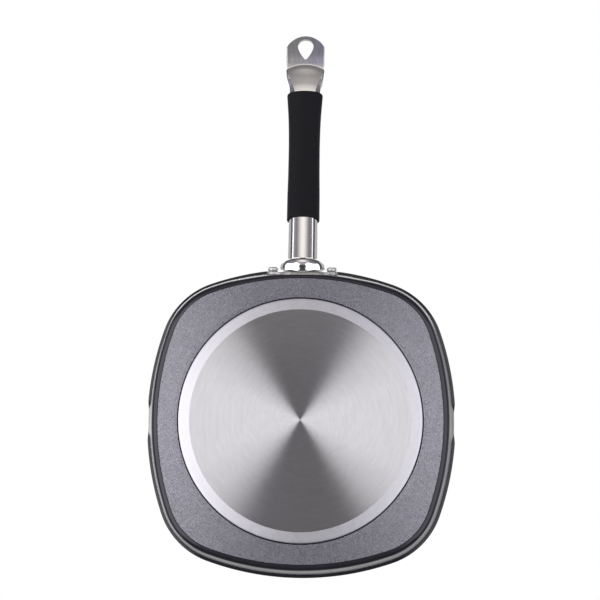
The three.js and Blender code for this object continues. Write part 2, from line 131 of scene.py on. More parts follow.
def outline(theta, d, cut=0.0):
    """Polar radius of the rim outline moved inward by d, its handle side flattened by cut."""
    a, rs, rc = RIM_HALF - d, SIDE_R - d, CORNER_R - d
    q = math.pi / 2
    t = np.abs((np.asarray(theta) + q / 2) % q - q / 2)
    b0, c0 = 2 * (rs - a), (rs - a) ** 2 - (rs - rc) ** 2
    k = (-b0 + math.sqrt(b0 * b0 - 8 * c0)) / 4
    ang = math.atan2(k, k - a + rs)
    turn = math.atan2(rs * math.sin(ang), a - rs + rs * math.cos(ang))
    c, s = np.cos(t), np.sin(t)
    e = a - rs
    b = c * e
    side = b + np.sqrt(np.maximum(b * b - e * e + rs * rs, 0))
    b = (c + s) * k
    corner = b + np.sqrt(np.maximum(b * b - 2 * k * k + rc * rc, 0))
    r = np.where(t < turn, side, corner)
    if cut > 0:
        s = -np.sin(theta)
        flat = np.where(s > 0.5, (a - cut) / np.maximum(s, 0.5), 1e3)
        h = np.clip(0.5 + 0.5 * (flat - r) / 0.4, 0, 1)
        r = flat + (r - flat) * h - 0.4 * h * (1 - h)
    return r


WALL_FOOT_R = BOTTOM_HALF + BOTTOM_CORNER_R * math.cos(WALL_LEAN)
WALL_FOOT_Z = BOTTOM_Z + BOTTOM_CORNER_R * (1 - math.sin(WALL_LEAN))


def wall_out(z):
    return WALL_FOOT_R + (z - WALL_FOOT_Z) * math.tan(WALL_LEAN)


def wall_in(z):
    return wall_out(z) - WALL_T / math.cos(WALL_LEAN)


def on_wall(x, z, w):
    """Point on the flattened handle-side wall: x across, z up its outer face, w out along its normal."""
    return np.array([x, PAD_CUT - wall_out(z) - w * math.cos(WALL_LEAN), z - w * math.sin(WALL_LEAN)])


def off_wall(p):
    """Distance of a point from the handle-side wall's outer face."""
    return (PAD_CUT - p[1] - wall_out(p[2])) * math.cos(WALL_LEAN)


SLOPE_RATE = (SLOPE_1 - SLOPE_0) / abs(AXIS_Y1 - AXIS_Y0)


def slope_at(y):
    return SLOPE_0 + SLOPE_RATE * (AXIS_Y0 - y)


def axis_frame(y):
    s = slope_at(y)
    z = AXIS_Z0 + (math.log(math.cos(SLOPE_0)) - math.log(math.cos(s))) / SLOPE_RATE
    return (np.array([0, y, z]), np.array([0, -math.cos(s), math.sin(s)]), np.array([0, math.sin(s), math.cos(s)]))


class Shell:
    """Collects rings of points and the faces between them."""

    def __init__(self):
        self.v, self.f, self.m = [], [], []

    def ring(self, pts):
        start = len(self.v)
        self.v.extend(np.asarray(pts, float).tolist())
        return list(range(start, start + len(pts)))

    def bridge(self, a, b, mat=0):
        n = len(a)
        for i in range(n):
            j = (i + 1) % n
            self.f.append((a[i], a[j], b[j], b[i]))
            self.m.append(mat)

    def fan(self, a, centre, mat=0):
        c = len(self.v)
        self.v.append(list(map(float, centre)))
        n = len(a)
        for i in range(n):
            self.f.append((a[i], a[(i + 1) % n], c))
            self.m.append(mat)

    def face(self, idx, mat=0):
        self.f.append(tuple(idx))
        self.m.append(mat)

    def build(self, name, materials, sharp=40):
        me = bpy.data.meshes.new(name)
        me.from_pydata([(x * 0.001, y * 0.001, z * 0.001) for x, y, z in self.v], [], self.f)
        for mat in materials:
            me.materials.append(mat)
        me.polygons.foreach_set("material_index", self.m)
        bm = bmesh.new()
        bm.from_mesh(me)
        bmesh.ops.recalc_face_normals(bm, faces=bm.faces[:])
        bm.to_mesh(me)
        bm.free()
        me.update()
        finish_normals(me, sharp)
        ob = bpy.data.objects.new(name, me)
        scene.collection.objects.link(ob)
        return ob


def finish_normals(me, sharp):
    me.shade_smooth()
    me.set_sharp_from_angle(angle=math.radians(sharp))


def cut(ob, cutters, sharp=40):
    """Subtracts closed meshes from a piece and keeps only the result."""
    for c in cutters:
        mod = ob.modifiers.new("cut", "BOOLEAN")
        mod.operation, mod.solver, mod.object = "DIFFERENCE", "EXACT", c
    bpy.context.view_layer.update()
    done = bpy.data.meshes.new_from_object(ob.evaluated_get(bpy.context.evaluated_depsgraph_get()))
    ob.modifiers.clear()
    old = ob.data
    ob.data = done
    done.name = ob.name
    bpy.data.meshes.remove(old)
    for c in cutters:
        m = c.data
        bpy.data.objects.remove(c)
        bpy.data.meshes.remove(m)
    bm = bmesh.new()
    bm.from_mesh(done)
    bmesh.ops.triangulate(bm, faces=[f for f in bm.faces if len(f.verts) > 4])
    bmesh.ops.dissolve_degenerate(bm, dist=1e-6, edges=bm.edges[:])
    bm.to_mesh(done)
    bm.free()
    finish_normals(done, sharp)


def lathe(profile, segments, mats, frame_of=None):
    """Closed turned body: profile is (r, s) from axis to axis, mats one entry per span."""
    sh = Shell()
    ang = np.arange(segments) * 2 * math.pi / segments
    origin, ex, ey, ez = frame_of or (np.zeros(3), np.array([1.0, 0, 0]), np.array([0, 1.0, 0]), np.array([0, 0, 1.0]))
    place = lambda r, s: origin + r * (np.cos(ang)[:, None] * ex + np.sin(ang)[:, None] * ey) + s * ez
    prev = None
    for k, (r, s) in enumerate(profile):
        if r < 1e-9:
            if prev is not None:
                sh.fan(prev, origin + s * ez, mats[k - 1])
            else:
                first = (s, mats[0])
            continue
        cur = sh.ring(place(r, s))
        if prev is None:
            sh.fan(cur, origin + first[0] * ez, first[1])
        else:
            sh.bridge(prev, cur, mats[k - 1])
        prev = cur
    return sh


# ---------------------------------------------------------------- node helpers
def new_material(name):
    mat = bpy.data.materials.new(name)
    mat.use_nodes = True
    nt = mat.node_tree
    bsdf = next(n for n in nt.nodes if n.type == "BSDF_PRINCIPLED")
    return mat, nt, bsdf


def node(nt, kind, **values):
    n = nt.nodes.new(kind)
    for k, v in values.items():
        if k.startswith("in_"):
            key = k[3:]
            n.inputs[int(key) if key.isdigit() else key.replace("_", " ")].default_value = v
        else:
            setattr(n, k, v)
    return n


def link(nt, a, b):
    nt.links.new(a, b)


def math_node(nt, op, a, b=None, c=None, clamp=False):
    n = nt.nodes.new("ShaderNodeMath")
    n.operation = op
    n.use_clamp = clamp
    for i, x in enumerate((a, b, c)):
        if x is None:
            continue
        if isinstance(x, (int, float)):
            n.inputs[i].default_value = x
        else:
            nt.links.new(x, n.inputs[i])
    return n.outputs[0]


def step_node(nt, value, lo, hi, to_lo=0.0, to_hi=1.0):
    n = nt.nodes.new("ShaderNodeMapRange")
    n.interpolation_type = "SMOOTHSTEP"
    nt.links.new(value, n.inputs[0])
    n.inputs[1].default_value, n.inputs[2].default_value = lo, hi
    n.inputs[3].default_value, n.inputs[4].default_value = to_lo, to_hi
    return n.outputs[0]


def mix_colour(nt, fac, a, b):
    n = nt.nodes.new("ShaderNodeMix")
    n.data_type = "RGBA"
    ins = {i.identifier: i for i in n.inputs}
    for key, x in (("Factor_Float", fac), ("A_Color", a), ("B_Color", b)):
        if isinstance(x, (int, float)):
            ins[key].default_value = x
        elif isinstance(x, tuple):
            ins[key].default_value = (*x, 1.0) if len(x) == 3 else x
        else:
            nt.links.new(x, ins[key])
    return next(o for o in n.outputs if o.identifier == "Result_Color")


def object_coords(nt):
    return nt.nodes.new("ShaderNodeTexCoord").outputs["Object"]


def noise(nt, vec, scale, detail=2.0, rough=0.5):
    n = node(nt, "ShaderNodeTexNoise", in_Scale=scale, in_Detail=detail, in_Roughness=rough)
    link(nt, vec, n.inputs["Vector"])
    return n.outputs["Fac"]


def bump(nt, height, strength, distance, bsdf, before=None):
    n = node(nt, "ShaderNodeBump", in_Strength=strength, in_Distance=distance)
    link(nt, height, n.inputs["Height"])
    if before is not None:
        link(nt, before, n.inputs["Normal"])
    if bsdf is not None:
        link(nt, n.outputs[0], bsdf.inputs["Normal"])
    return n.outputs[0]


# ---------------------------------------------------------------- materials
def make_fleck_grey():
    mat, nt, b = new_material("fleck_grey_coat")
    co = object_coords(nt)
    cells = node(nt, "ShaderNodeTexVoronoi", in_Scale=1500.0)
    link(nt, co, cells.inputs["Vector"])
    tone = nt.nodes.new("ShaderNodeSeparateColor")
    link(nt, cells.outputs["Color"], tone.inputs[0])
    cloud = noise(nt, co, 320.0, 3.0, 0.6)
    fleck = math_node(nt, "ADD", math_node(nt, "MULTIPLY", tone.outputs[0], 0.6), math_node(nt, "MULTIPLY", cloud, 0.4))
    colour = mix_colour(nt, fleck, (0.236, 0.233, 0.266), (0.438, 0.433, 0.482))
    link(nt, colour, b.inputs["Base Color"])
    b.inputs["Metallic"].default_value = 0.9
    link(nt, step_node(nt, tone.outputs[1], 0.0, 1.0, 0.27, 0.34), b.inputs["Roughness"])
    b.inputs["Anisotropic"].default_value = 0.6
    b.inputs["Anisotropic Rotation"].default_value = 0.25
    tan = node(nt, "ShaderNodeTangent", direction_type="RADIAL", axis="Z")
    link(nt, tan.outputs[0], b.inputs["Tangent"])
    bump(nt, tone.outputs[2], 0.22, 0.00012, b)
    return mat


def make_black_coat():
    mat, nt, b = new_material("gloss_black_coat")
    co = object_coords(nt)
    peel = noise(nt, co, 420.0, 2.0, 0.55)
    wide = noise(nt, co, 45.0, 3.0, 0.6)
    colour = mix_colour(nt, wide, (0.010, 0.0095, 0.0125), (0.018, 0.0172, 0.0215))
    link(nt, colour, b.inputs["Base Color"])
    b.inputs["Specular IOR Level"].default_value = 0.36
    b.inputs["Specular Tint"].default_value = (0.93, 0.91, 1.0, 1.0)
    link(nt, step_node(nt, wide, 0.3, 0.7, 0.15, 0.21), b.inputs["Roughness"])
    bump(nt, peel, 0.03, 0.0003, b)
    return mat


def make_nonstick():
    mat, nt, b = new_material("nonstick_inside")
    co = object_coords(nt)
    cells = node(nt, "ShaderNodeTexVoronoi", in_Scale=900.0)
    link(nt, co, cells.inputs["Vector"])
    tone = nt.nodes.new("ShaderNodeSeparateColor")
    link(nt, cells.outputs["Color"], tone.inputs[0])
    spark = step_node(nt, tone.outputs[0], 0.90, 0.97)
    wide = noise(nt, co, 30.0, 4.0, 0.6)
    base = mix_colour(nt, wide, (0.016, 0.016, 0.017), (0.026, 0.026, 0.028))
    link(nt, mix_colour(nt, math_node(nt, "MULTIPLY", spark, 0.35), base, (0.16, 0.16, 0.17)), b.inputs["Base Color"])
    link(nt, step_node(nt, wide, 0.25, 0.75, 0.36, 0.46), b.inputs["Roughness"])
    grain = noise(nt, co, 700.0, 3.0, 0.6)
    bump(nt, grain, 0.12, 0.0003, b)
    return mat


def make_brushed_disc():
    mat, nt, b = new_material("circular_brushed_steel")
    co = object_coords(nt)
    sep = nt.nodes.new("ShaderNodeSeparateXYZ")
    link(nt, co, sep.inputs[0])
    x, y = sep.outputs[0], sep.outputs[1]
    r = math_node(nt, "SQRT", math_node(nt, "ADD", math_node(nt, "MULTIPLY", x, x), math_node(nt, "MULTIPLY", y, y)))
    # long arcs: radius is drawn out, angle hardly at all
    ang = math_node(nt, "ARCTAN2", y, x)
    line = nt.nodes.new("ShaderNodeCombineXYZ")
    link(nt, math_node(nt, "MULTIPLY", r, 2600.0), line.inputs[0])
    link(nt, math_node(nt, "MULTIPLY", math_node(nt, "COSINE", ang), 1.4), line.inputs[1])
    link(nt, math_node(nt, "MULTIPLY", math_node(nt, "SINE", ang), 1.4), line.inputs[2])
    fine = noise(nt, line.outputs[0], 1.0, 3.0, 0.65)
    coarse_v = nt.nodes.new("ShaderNodeVectorMath")
    coarse_v.operation = "MULTIPLY"
    link(nt, line.outputs[0], coarse_v.inputs[0])
    coarse_v.inputs[1].default_value = (0.16, 4.0, 4.0)
    coarse = noise(nt, coarse_v.outputs[0], 1.0, 2.0, 0.5)
    both = math_node(nt, "ADD", math_node(nt, "MULTIPLY", fine, 0.4), math_node(nt, "MULTIPLY", coarse, 0.6))
    # painted light: the disc is a little brighter towards the handle
    painted_sheen_and_tip_tone = step_node(nt, y, -0.095, -0.03, 1.0, 0.0)
    low = mix_colour(nt, painted_sheen_and_tip_tone, (0.437, 0.429, 0.437), (0.515, 0.508, 0.511))
    high = mix_colour(nt, painted_sheen_and_tip_tone, (0.493, 0.485, 0.497), (0.585, 0.578, 0.582))
    link(nt, mix_colour(nt, step_node(nt, both, 0.3, 0.7), low, high), b.inputs["Base Color"])
    b.inputs["Metallic"].default_value = 1.0
    link(nt, step_node(nt, both, 0.3, 0.7, 0.352, 0.423), b.inputs["Roughness"])
    b.inputs["Anisotropic"].default_value = 1.0
    b.inputs["Anisotropic Rotation"].default_value = 0.25
    tan = node(nt, "ShaderNodeTangent", direction_type="RADIAL", axis="Z")
    link(nt, tan.outputs[0], b.inputs["Tangent"])
    bump(nt, fine, 0.06, 0.00004, b)
    return mat


def make_satin_steel(name, lo, hi, rough_lo, rough_hi, scale=180.0):
    mat, nt, b = new_material(name)
    co = object_coords(nt)
    n1 = noise(nt, co, scale, 3.0, 0.6)
    n2 = noise(nt, co, scale * 9, 2.0, 0.5)
    both = math_node(nt, "ADD", math_node(nt, "MULTIPLY", n1, 0.5), math_node(nt, "MULTIPLY", n2, 0.5))
    link(nt, mix_colour(nt, step_node(nt, both, 0.3, 0.7), lo, hi), b.inputs["Base Color"])
    b.inputs["Metallic"].default_value = 1.0
    link(nt, step_node(nt, both, 0.3, 0.7, rough_lo, rough_hi), b.inputs["Roughness"])
    bump(nt, n2, 0.05, 0.00005, b)
    return mat


def make_polished(name, rough_from, tail_rough):
    """Polished steel that turns satin towards the flattened tail."""
    mat, nt, b = new_material(name)
    co = object_coords(nt)
    sep = nt.nodes.new("ShaderNodeSeparateXYZ")
    link(nt, co, sep.inputs[0])
    tail = step_node(nt, math_node(nt, "MULTIPLY", sep.outputs[1], -1.0), 0.290, 0.306)
    # fine polishing lines run along the handle
    line = nt.nodes.new("ShaderNodeVectorMath")
    line.operation = "MULTIPLY"
    link(nt, co, line.inputs[0])
    line.inputs[1].default_value = (1400.0, 25.0, 1400.0)
    streak = noise(nt, line.outputs[0], 1.0, 2.0, 0.6)
    cloud = noise(nt, co, 60.0, 3.0, 0.6)
    both = math_node(nt, "ADD", math_node(nt, "MULTIPLY", streak, 0.6), math_node(nt, "MULTIPLY", cloud, 0.4))
    wide_line = nt.nodes.new("ShaderNodeVectorMath")
    wide_line.operation = "MULTIPLY"
    link(nt, co, wide_line.inputs[0])
    wide_line.inputs[1].default_value = (520.0, 14.0, 520.0)
    brushed = step_node(nt, noise(nt, wide_line.outputs[0], 1.0, 3.0, 0.7), 0.3, 0.7)
    plain = mix_colour(nt, both, (0.66, 0.65, 0.645), (0.78, 0.77, 0.765))
    # a step darker towards the tip of the tail
    painted_sheen_and_tip_tone = step_node(nt, math_node(nt, "MULTIPLY", sep.outputs[1], -1.0), 0.3405, 0.3505)
    lined = mix_colour(nt, brushed, mix_colour(nt, painted_sheen_and_tip_tone, (0.61, 0.603, 0.598), (0.40, 0.395, 0.392)), mix_colour(nt, painted_sheen_and_tip_tone, (0.77, 0.76, 0.755), (0.53, 0.523, 0.52)))
    tongue = step_node(nt, math_node(nt, "MULTIPLY", sep.outputs[1], -1.0), 0.3345, 0.3385)
    facing = nt.nodes.new("ShaderNodeSeparateXYZ")
    link(nt, nt.nodes.new("ShaderNodeTexCoord").outputs["Normal"], facing.inputs[0])
    upper = math_node(nt, "MULTIPLY", tail, step_node(nt, facing.outputs[2], 0.2, 0.6))
    satin = mix_colour(nt, brushed, (0.36, 0.357, 0.355), (0.50, 0.496, 0.494))
    link(nt, mix_colour(nt, upper, mix_colour(nt, tongue, plain, lined), satin), b.inputs["Base Color"])
    b.inputs["Metallic"].default_value = 1.0
    back = math_node(nt, "MULTIPLY", sep.outputs[1], -1.0)
    crest = math_node(nt, "MULTIPLY", step_node(nt, back, 0.3065, 0.3085), step_node(nt, back, 0.3372, 0.3392, 0.05, 0.0))
    rough = math_node(nt, "ADD", math_node(nt, "MULTIPLY_ADD", both, 0.06, crest), math_node(nt, "MULTIPLY_ADD", tail, tail_rough, rough_from))
    link(nt, math_node(nt, "MULTIPLY_ADD", upper, 0.3, rough), b.inputs["Roughness"])
    bump(nt, streak, 0.03, 0.00004, b)
    return mat


def make_silicone():
    mat, nt, b = new_material("matt_silicone")
    co = object_coords(nt)
    grain = noise(nt, co, 1600.0, 2.0, 0.6)
    wide = noise(nt, co, 55.0, 3.0, 0.6)
    link(nt, mix_colour(nt, wide, (0.0040, 0.0039, 0.0054), (0.0066, 0.0064, 0.0086)), b.inputs["Base Color"])
    link(nt, step_node(nt, wide, 0.25, 0.75, 0.55, 0.65), b.inputs["Roughness"])
    b.inputs["Specular IOR Level"].default_value = 0.12
    bump(nt, grain, 0.10, 0.00008, b)
    return mat


def make_core():
    mat, nt, b = new_material("rolled_aluminium")
    co = object_coords(nt)
    n1 = noise(nt, co, 120.0, 3.0, 0.6)
    link(nt, mix_colour(nt, n1, (0.55, 0.55, 0.56), (0.75, 0.75, 0.77)), b.inputs["Base Color"])
    b.inputs["Metallic"].default_value = 1.0
    link(nt, step_node(nt, n1, 0.2, 0.8, 0.4, 0.55), b.inputs["Roughness"])
    return mat


M_FLECK = make_fleck_grey()
M_BLACK = make_black_coat()
M_INSIDE = make_nonstick()
M_DISC = make_brushed_disc()
M_RING = make_satin_steel("satin_steel_ring", (0.432, 0.427, 0.452), (0.494, 0.488, 0.517), 0.42, 0.48)
M_POLISHED = make_polished("polished_steel", 0.09, 0.01)
M_BOSS = make_polished("bright_steel", 0.06, 0.0)
M_PLATE = make_satin_steel("satin_steel_plate", (0.30, 0.297, 0.293), (0.36, 0.357, 0.352), 0.42, 0.48, 300.0)
M_RIVET = make_satin_steel("rivet_steel", (0.48, 0.48, 0.48), (0.57, 0.57, 0.57), 0.46, 0.52, 400.0)
M_GRIP = make_silicone()
M_CORE = make_core()


# ---------------------------------------------------------------- pan body
def make_body():
    sh = Shell()
    n = 480
    raw = 2 * math.pi * np.arange(n) / n - math.pi / 2
    th = raw - 0.35 * np.sin(2 * raw)
    cos, sin = np.cos(th), np.sin(th)

    def place(r, z, plan=1.0, bead=0.0):
        rr = outline(th, RIM_HALF - r, PAD_CUT * float(smooth(BOTTOM_Z, 11, z))) if plan else np.full(n, r, float)
        zz = np.full(n, z, float)
        if z > 20:
            side = np.where(np.abs(cos) > 0.9, 1 - smooth(DIP_FLAT, DIP_END, np.abs(rr * sin)), 0.0)
            zz = z - DIP_DEPTH * side * smooth(22, WALL_TOP_Z, z)
            rr = rr - bead * side
        return np.stack([rr * cos, rr * sin, zz], 1)

    # the corner is softer and the lip slimmer, except where the bracket sits on the wall
    def merge(by_bracket, elsewhere):
        a, b = place(by_bracket[0], by_bracket[1], 1, by_bracket[2]), place(elsewhere[0], elsewhere[1], 1, elsewhere[2])
        return a + (b - a) * np.where(sin < 0, smooth(46, 70, np.abs(b[:, 0])), 1.0)[:, None]

    rows = []
    # the recess round the cap, roof and wall, takes the black coat: partly a dark bond line, partly painted shade in
    # the narrow gap
    for r in (60.0, 104.0, 107.6, RECESS_R):
        rows.append((place(r, RECESS_Z, 0), 1))
    for r, z in ((RECESS_R, 5.75), (RECESS_R, 5.4), (RECESS_R + 0.06, 5.16), (RECESS_R + 0.22, 5.03), (RECESS_R + 0.5, 5.0)):
        rows.append((place(r, z, 0), 1 if z > BOTTOM_Z else 0))
    inner, outer = place(RECESS_R + 0.5, BOTTOM_Z, 0), place(BOTTOM_HALF - 1.2, BOTTOM_Z)
    for f in (0.2, 0.4, 0.6, 0.8, 1.0):
        rows.append((inner + (outer - inner) * f, 0))
    rows.append((place(BOTTOM_HALF - 0.3, BOTTOM_Z), 0))
    sweep = math.pi / 2 - WALL_LEAN
    for i in range(0, 17):
        a = sweep * i / 16
        rows.append((merge((BOTTOM_HALF + BOTTOM_CORNER_R * math.sin(a), BOTTOM_Z + BOTTOM_CORNER_R * (1 - math.cos(a)), 0.0),
                           (BOTTOM_HALF + SOFT_CORNER_R * math.sin(a), BOTTOM_Z + SOFT_CORNER_R * (1 - math.cos(a)), 0.0)), 0 if i == 0 else 1))
    flare = lambda z: -DIP_FLARE * float(smooth(30, WALL_TOP_Z, z))
    soft_foot = (BOTTOM_HALF + SOFT_CORNER_R * math.cos(WALL_LEAN), BOTTOM_Z + SOFT_CORNER_R * (1 - math.sin(WALL_LEAN)))
    for f in np.linspace(0, 1, 18)[1:]:
        f = min(f, 0.992)
        z = WALL_FOOT_Z + (WALL_TOP_Z - WALL_FOOT_Z) * f
        zs = soft_foot[1] + (WALL_TOP_Z - soft_foot[1]) * f
        rows.append((merge((wall_out(z), z, flare(z)), (soft_foot[0] + (SLIM_LIP_R - soft_foot[0]) * f, zs, flare(zs))), 1))
    bead = [(wall_out(WALL_TOP_Z), WALL_TOP_Z, -DIP_FLARE), (137.5, 46.2, -0.3), (138.4, 46.5, 0.15), (139.4, 46.9, 0.85), (139.95, 47.7, 1.75),
            (139.9, 48.9, 1.7), (139.2, 49.9, 1.15), (137.8, RIM_Z, 0.3), (136.3, 50.3, -0.35), (135.3, 49.6, -DIP_FLARE), (wall_in(47.5), 47.5, -DIP_FLARE)]
    slim = [(SLIM_LIP_R, WALL_TOP_Z, -DIP_FLARE), (137.85, 46.15, -0.3), (138.55, 46.48, 0.35), (139.45, 46.9, 1.15)] + bead[4:]
    for thin, thick in zip(spline(slim, 4), spline(bead, 4)):
        rows.append((merge(thick, thin), 1))
    top_count = len(rows)
    for z in np.linspace(47.5, FLOOR_Z + FLOOR_CORNER_R, 18)[1:]:
        rows.append((place(wall_in(z), z, 1, flare(z)), 2))
    cz = FLOOR_Z + FLOOR_CORNER_R
    cr = wall_in(cz) - FLOOR_CORNER_R / math.cos(WALL_LEAN)
    for i in range(11, -1, -1):
        a = sweep * i / 12
        rows.append((place(cr + FLOOR_CORNER_R * math.sin(a), cz - FLOOR_CORNER_R * math.cos(a)), 2))
    floor_edge = place(cr - 0.8, FLOOR_Z)
    rows.append((floor_edge, 2))

    prev = None
    for pts, mat in rows:
        cur = sh.ring(pts)
        if prev is None:
            sh.fan(cur, (0, 0, RECESS_Z), 1)
        else:
            sh.bridge(prev, cur, mat)
        prev = cur
    edge_ids = prev

    # grill ridges: rings of stadium outlines stacked on the floor
    def half_length(x):
        lo, hi = 0.0, math.pi / 2
        for _ in range(60):
            mid = (lo + hi) / 2
            r = float(outline(mid, RIM_HALF - RIDGE_END_HALF))
            if r * math.cos(mid) > abs(x):
                lo = mid
            else:
                hi = mid
        return float(outline(lo, RIM_HALF - RIDGE_END_HALF)) * math.sin(lo)

    levels = [(4.0, 0.0, 0.0), (3.62, 0.10, 0.35), (3.25, 0.42, 0.8), (2.9, 1.1, 1.4), (2.55, 1.9, 2.0), (2.25, 2.7, 2.7),
              (1.95, 3.3, 3.4), (1.55, 3.72, 4.1), (1.0, 3.94, 4.8), (0.4, 4.0, 5.5)]
    arc, run = 12, 14
    holes = []
    for k in range(-RIDGE_SIDE_COUNT, RIDGE_SIDE_COUNT + 1):
        x0 = k * RIDGE_PITCH
        half = half_length(abs(x0) + 3.2)
        below = None
        for w, z, e in levels:
            end = half + 0.8 - e
            straight = end - w
            pts = []
            for i in range(run):
                pts.append((w, -straight + 2 * straight * i / run))
            for i in range(arc):
                a = math.pi * i / arc
                pts.append((w * math.cos(a), straight + w * math.sin(a)))
            for i in range(run):
                pts.append((-w, straight - 2 * straight * i / run))
            for i in range(arc):
                a = math.pi + math.pi * i / arc
                pts.append((w * math.cos(a), -straight + w * math.sin(a)))
            cur = sh.ring([(x0 + px, py, FLOOR_Z + z) for px, py in pts])
            if below is None:
                holes.append((cur, x0, [(x0 + px, py) for px, py in pts]))
            else:
                sh.bridge(below, cur, 2)
            below = cur
        sh.face(below, 2)

    # the floor between the ridges
    pts2, ids = [], []
    edges = []

    def loop(id_list):
        s = len(pts2)
        for i in id_list:
            pts2.append(Vector((sh.v[i][0], sh.v[i][1])))
            ids.append(i)
        m = len(id_list)
        edges.extend((s + i, s + (i + 1) % m) for i in range(m))

    loop(edge_ids)
    for cur, _, _ in holes:
        loop(cur)
    verts, _, tris, origin, _, _ = delaunay_2d_cdt(pts2, edges, [], 0, 1e-5)
    back = [ids[o[0]] for o in origin]
    boxes = [(x0, max(p[1] for p in poly), poly) for _, x0, poly in holes]

    def in_ridge(px, py):
        for x0, top, _ in boxes:
            if abs(px - x0) < 4.0 and abs(py) < top:
                over = abs(py) - (top - 4.0)
                if over <= 0 or math.hypot(px - x0, over) < 4.0:
                    return True
        return False

    for t in tris:
        cx = sum(verts[i][0] for i in t) / 3
        cy = sum(verts[i][1] for i in t) / 3
        if in_ridge(cx, cy):
            continue
        if math.hypot(cx, cy) > float(outline(math.atan2(cy, cx), RIM_HALF - (cr - 0.8), PAD_CUT * float(smooth(BOTTOM_Z, 11, FLOOR_Z)))) + 0.02:
            continue
        sh.face([back[i] for i in t], 2)
    return sh.build("pan_body_fine", [M_FLECK, M_BLACK, M_INSIDE], 50)


def rivet_axis(x):
    a = on_wall(x, BRACKET_Z, -WALL_T / 2)
    d = on_wall(x, BRACKET_Z, 10) - a
    ez = d / np.linalg.norm(d)
    ex = np.cross(np.array([0, 0, 1.0]), ez)
    ex /= np.linalg.norm(ex)
    return a, ex, np.cross(ez, ex), ez


def rivet_cutter(x):
    r = RIVET_HOLE_R
    return lathe([(0, -14), (r, -14), (r, 14), (0, 14)], 32, [0, 0, 0], rivet_axis(x)).build("cutter", [M_INSIDE])


body = make_body()
cut(body, [rivet_cutter(-RIVET_X), rivet_cutter(RIVET_X)], 50)


# ---------------------------------------------------------------- base cap
def make_cap():
    p = [(0, 0)]
    p += [(r, 0) for r in (8, 25, 50, 75, 92, 96.6, 97.2)]
    p += [(97.65, 0.01), (98.0, 0.06), (98.4, 0.15)]
    for f in (0.25, 0.5, 0.75):
        p.append((98.4 + f * (107.1 - 98.4), 0.15 + f * (2.1 - 0.15)))
    p += [(107.1, 2.1), (107.45, 2.24), (107.7, 2.46), (107.85, 2.76), (CAP_R, 3.1), (CAP_R, 4.2), (CAP_R, 5.2), (107.8, 5.42), (107.6, CAP_TOP_Z)]
    split = 10
    p += [(CAP_R - CAP_T, CAP_TOP_Z), (CAP_R - CAP_T, CAP_RING_Z + 1.0), (CAP_R - CAP_T - 0.4, CAP_RING_Z + 0.7),
          (CAP_FLAT_R - 0.2, CAP_T), (60, CAP_T), (0, CAP_T)]
    mats = [0 if k < split - 1 else 1 for k in range(len(p) - 1)]
    return lathe(p, 256, mats).build("base_cap_fine", [M_DISC, M_RING], 50)


cap = make_cap()

# ---------------------------------------------------------------- handle bracket
tube_width, tube_thick = soft_table(TUBE_TABLE, 1), soft_table(TUBE_TABLE, 2)
grip_width, grip_thick = soft_table(GRIP_TABLE, 1), soft_table(GRIP_TABLE, 2)


def oval(y, width, thick, ang, power=0.92):
    c, t, n = axis_frame(y)
    ca, sa = np.cos(ang), np.sin(ang)
    u = np.sign(ca) * np.abs(ca) ** power * width / 2
    v = np.sign(sa) * np.abs(sa) ** power * thick / 2
    return c + u[:, None] * np.array([1.0, 0, 0]) + v[:, None] * n


def wing_radius(count):
    e, r, h = WING_END_X, WING_END_R, WING_MID_HALF_H
    pts = [(e + r * math.cos(a), r * math.sin(a)) for a in np.linspace(0, math.pi / 2, 40)]
    p0, p1, p2, p3 = (e, r), (e - 7, r), (e - 9, h), (10, h)
    for t in np.linspace(0, 1, 60)[1:]:
        q = [(1 - t) ** 3 * a + 3 * (1 - t) ** 2 * t * b + 3 * (1 - t) * t * t * c + t ** 3 * d for a, b, c, d in zip(p0, p1, p2, p3)]
        pts.append(tuple(q))
    pts += [(x, h) for x in np.linspace(10, 0, 20)[1:]]
    ang = np.array([math.atan2(b, a) for a, b in pts])
    rad = np.array([math.hypot(a, b) for a, b in pts])
    want = 2 * math.pi * np.arange(count) / count
    fold = np.abs((want + math.pi / 2) % math.pi - math.pi / 2)
    return want, np.interp(fold, ang, rad)


def upright(y, width, thick, ang, power=0.92):
    """Section of the handle axis by an upright plane."""
    c, t, n = axis_frame(y)
    ca, sa = np.cos(ang), np.sin(ang)
    u = np.sign(ca) * np.abs(ca) ** power * width / 2
    v = np.sign(sa) * np.abs(sa) ** power * thick / 2 / math.cos(slope_at(y))
    return np.stack([u, np.full_like(u, y), c[2] + v], 1)


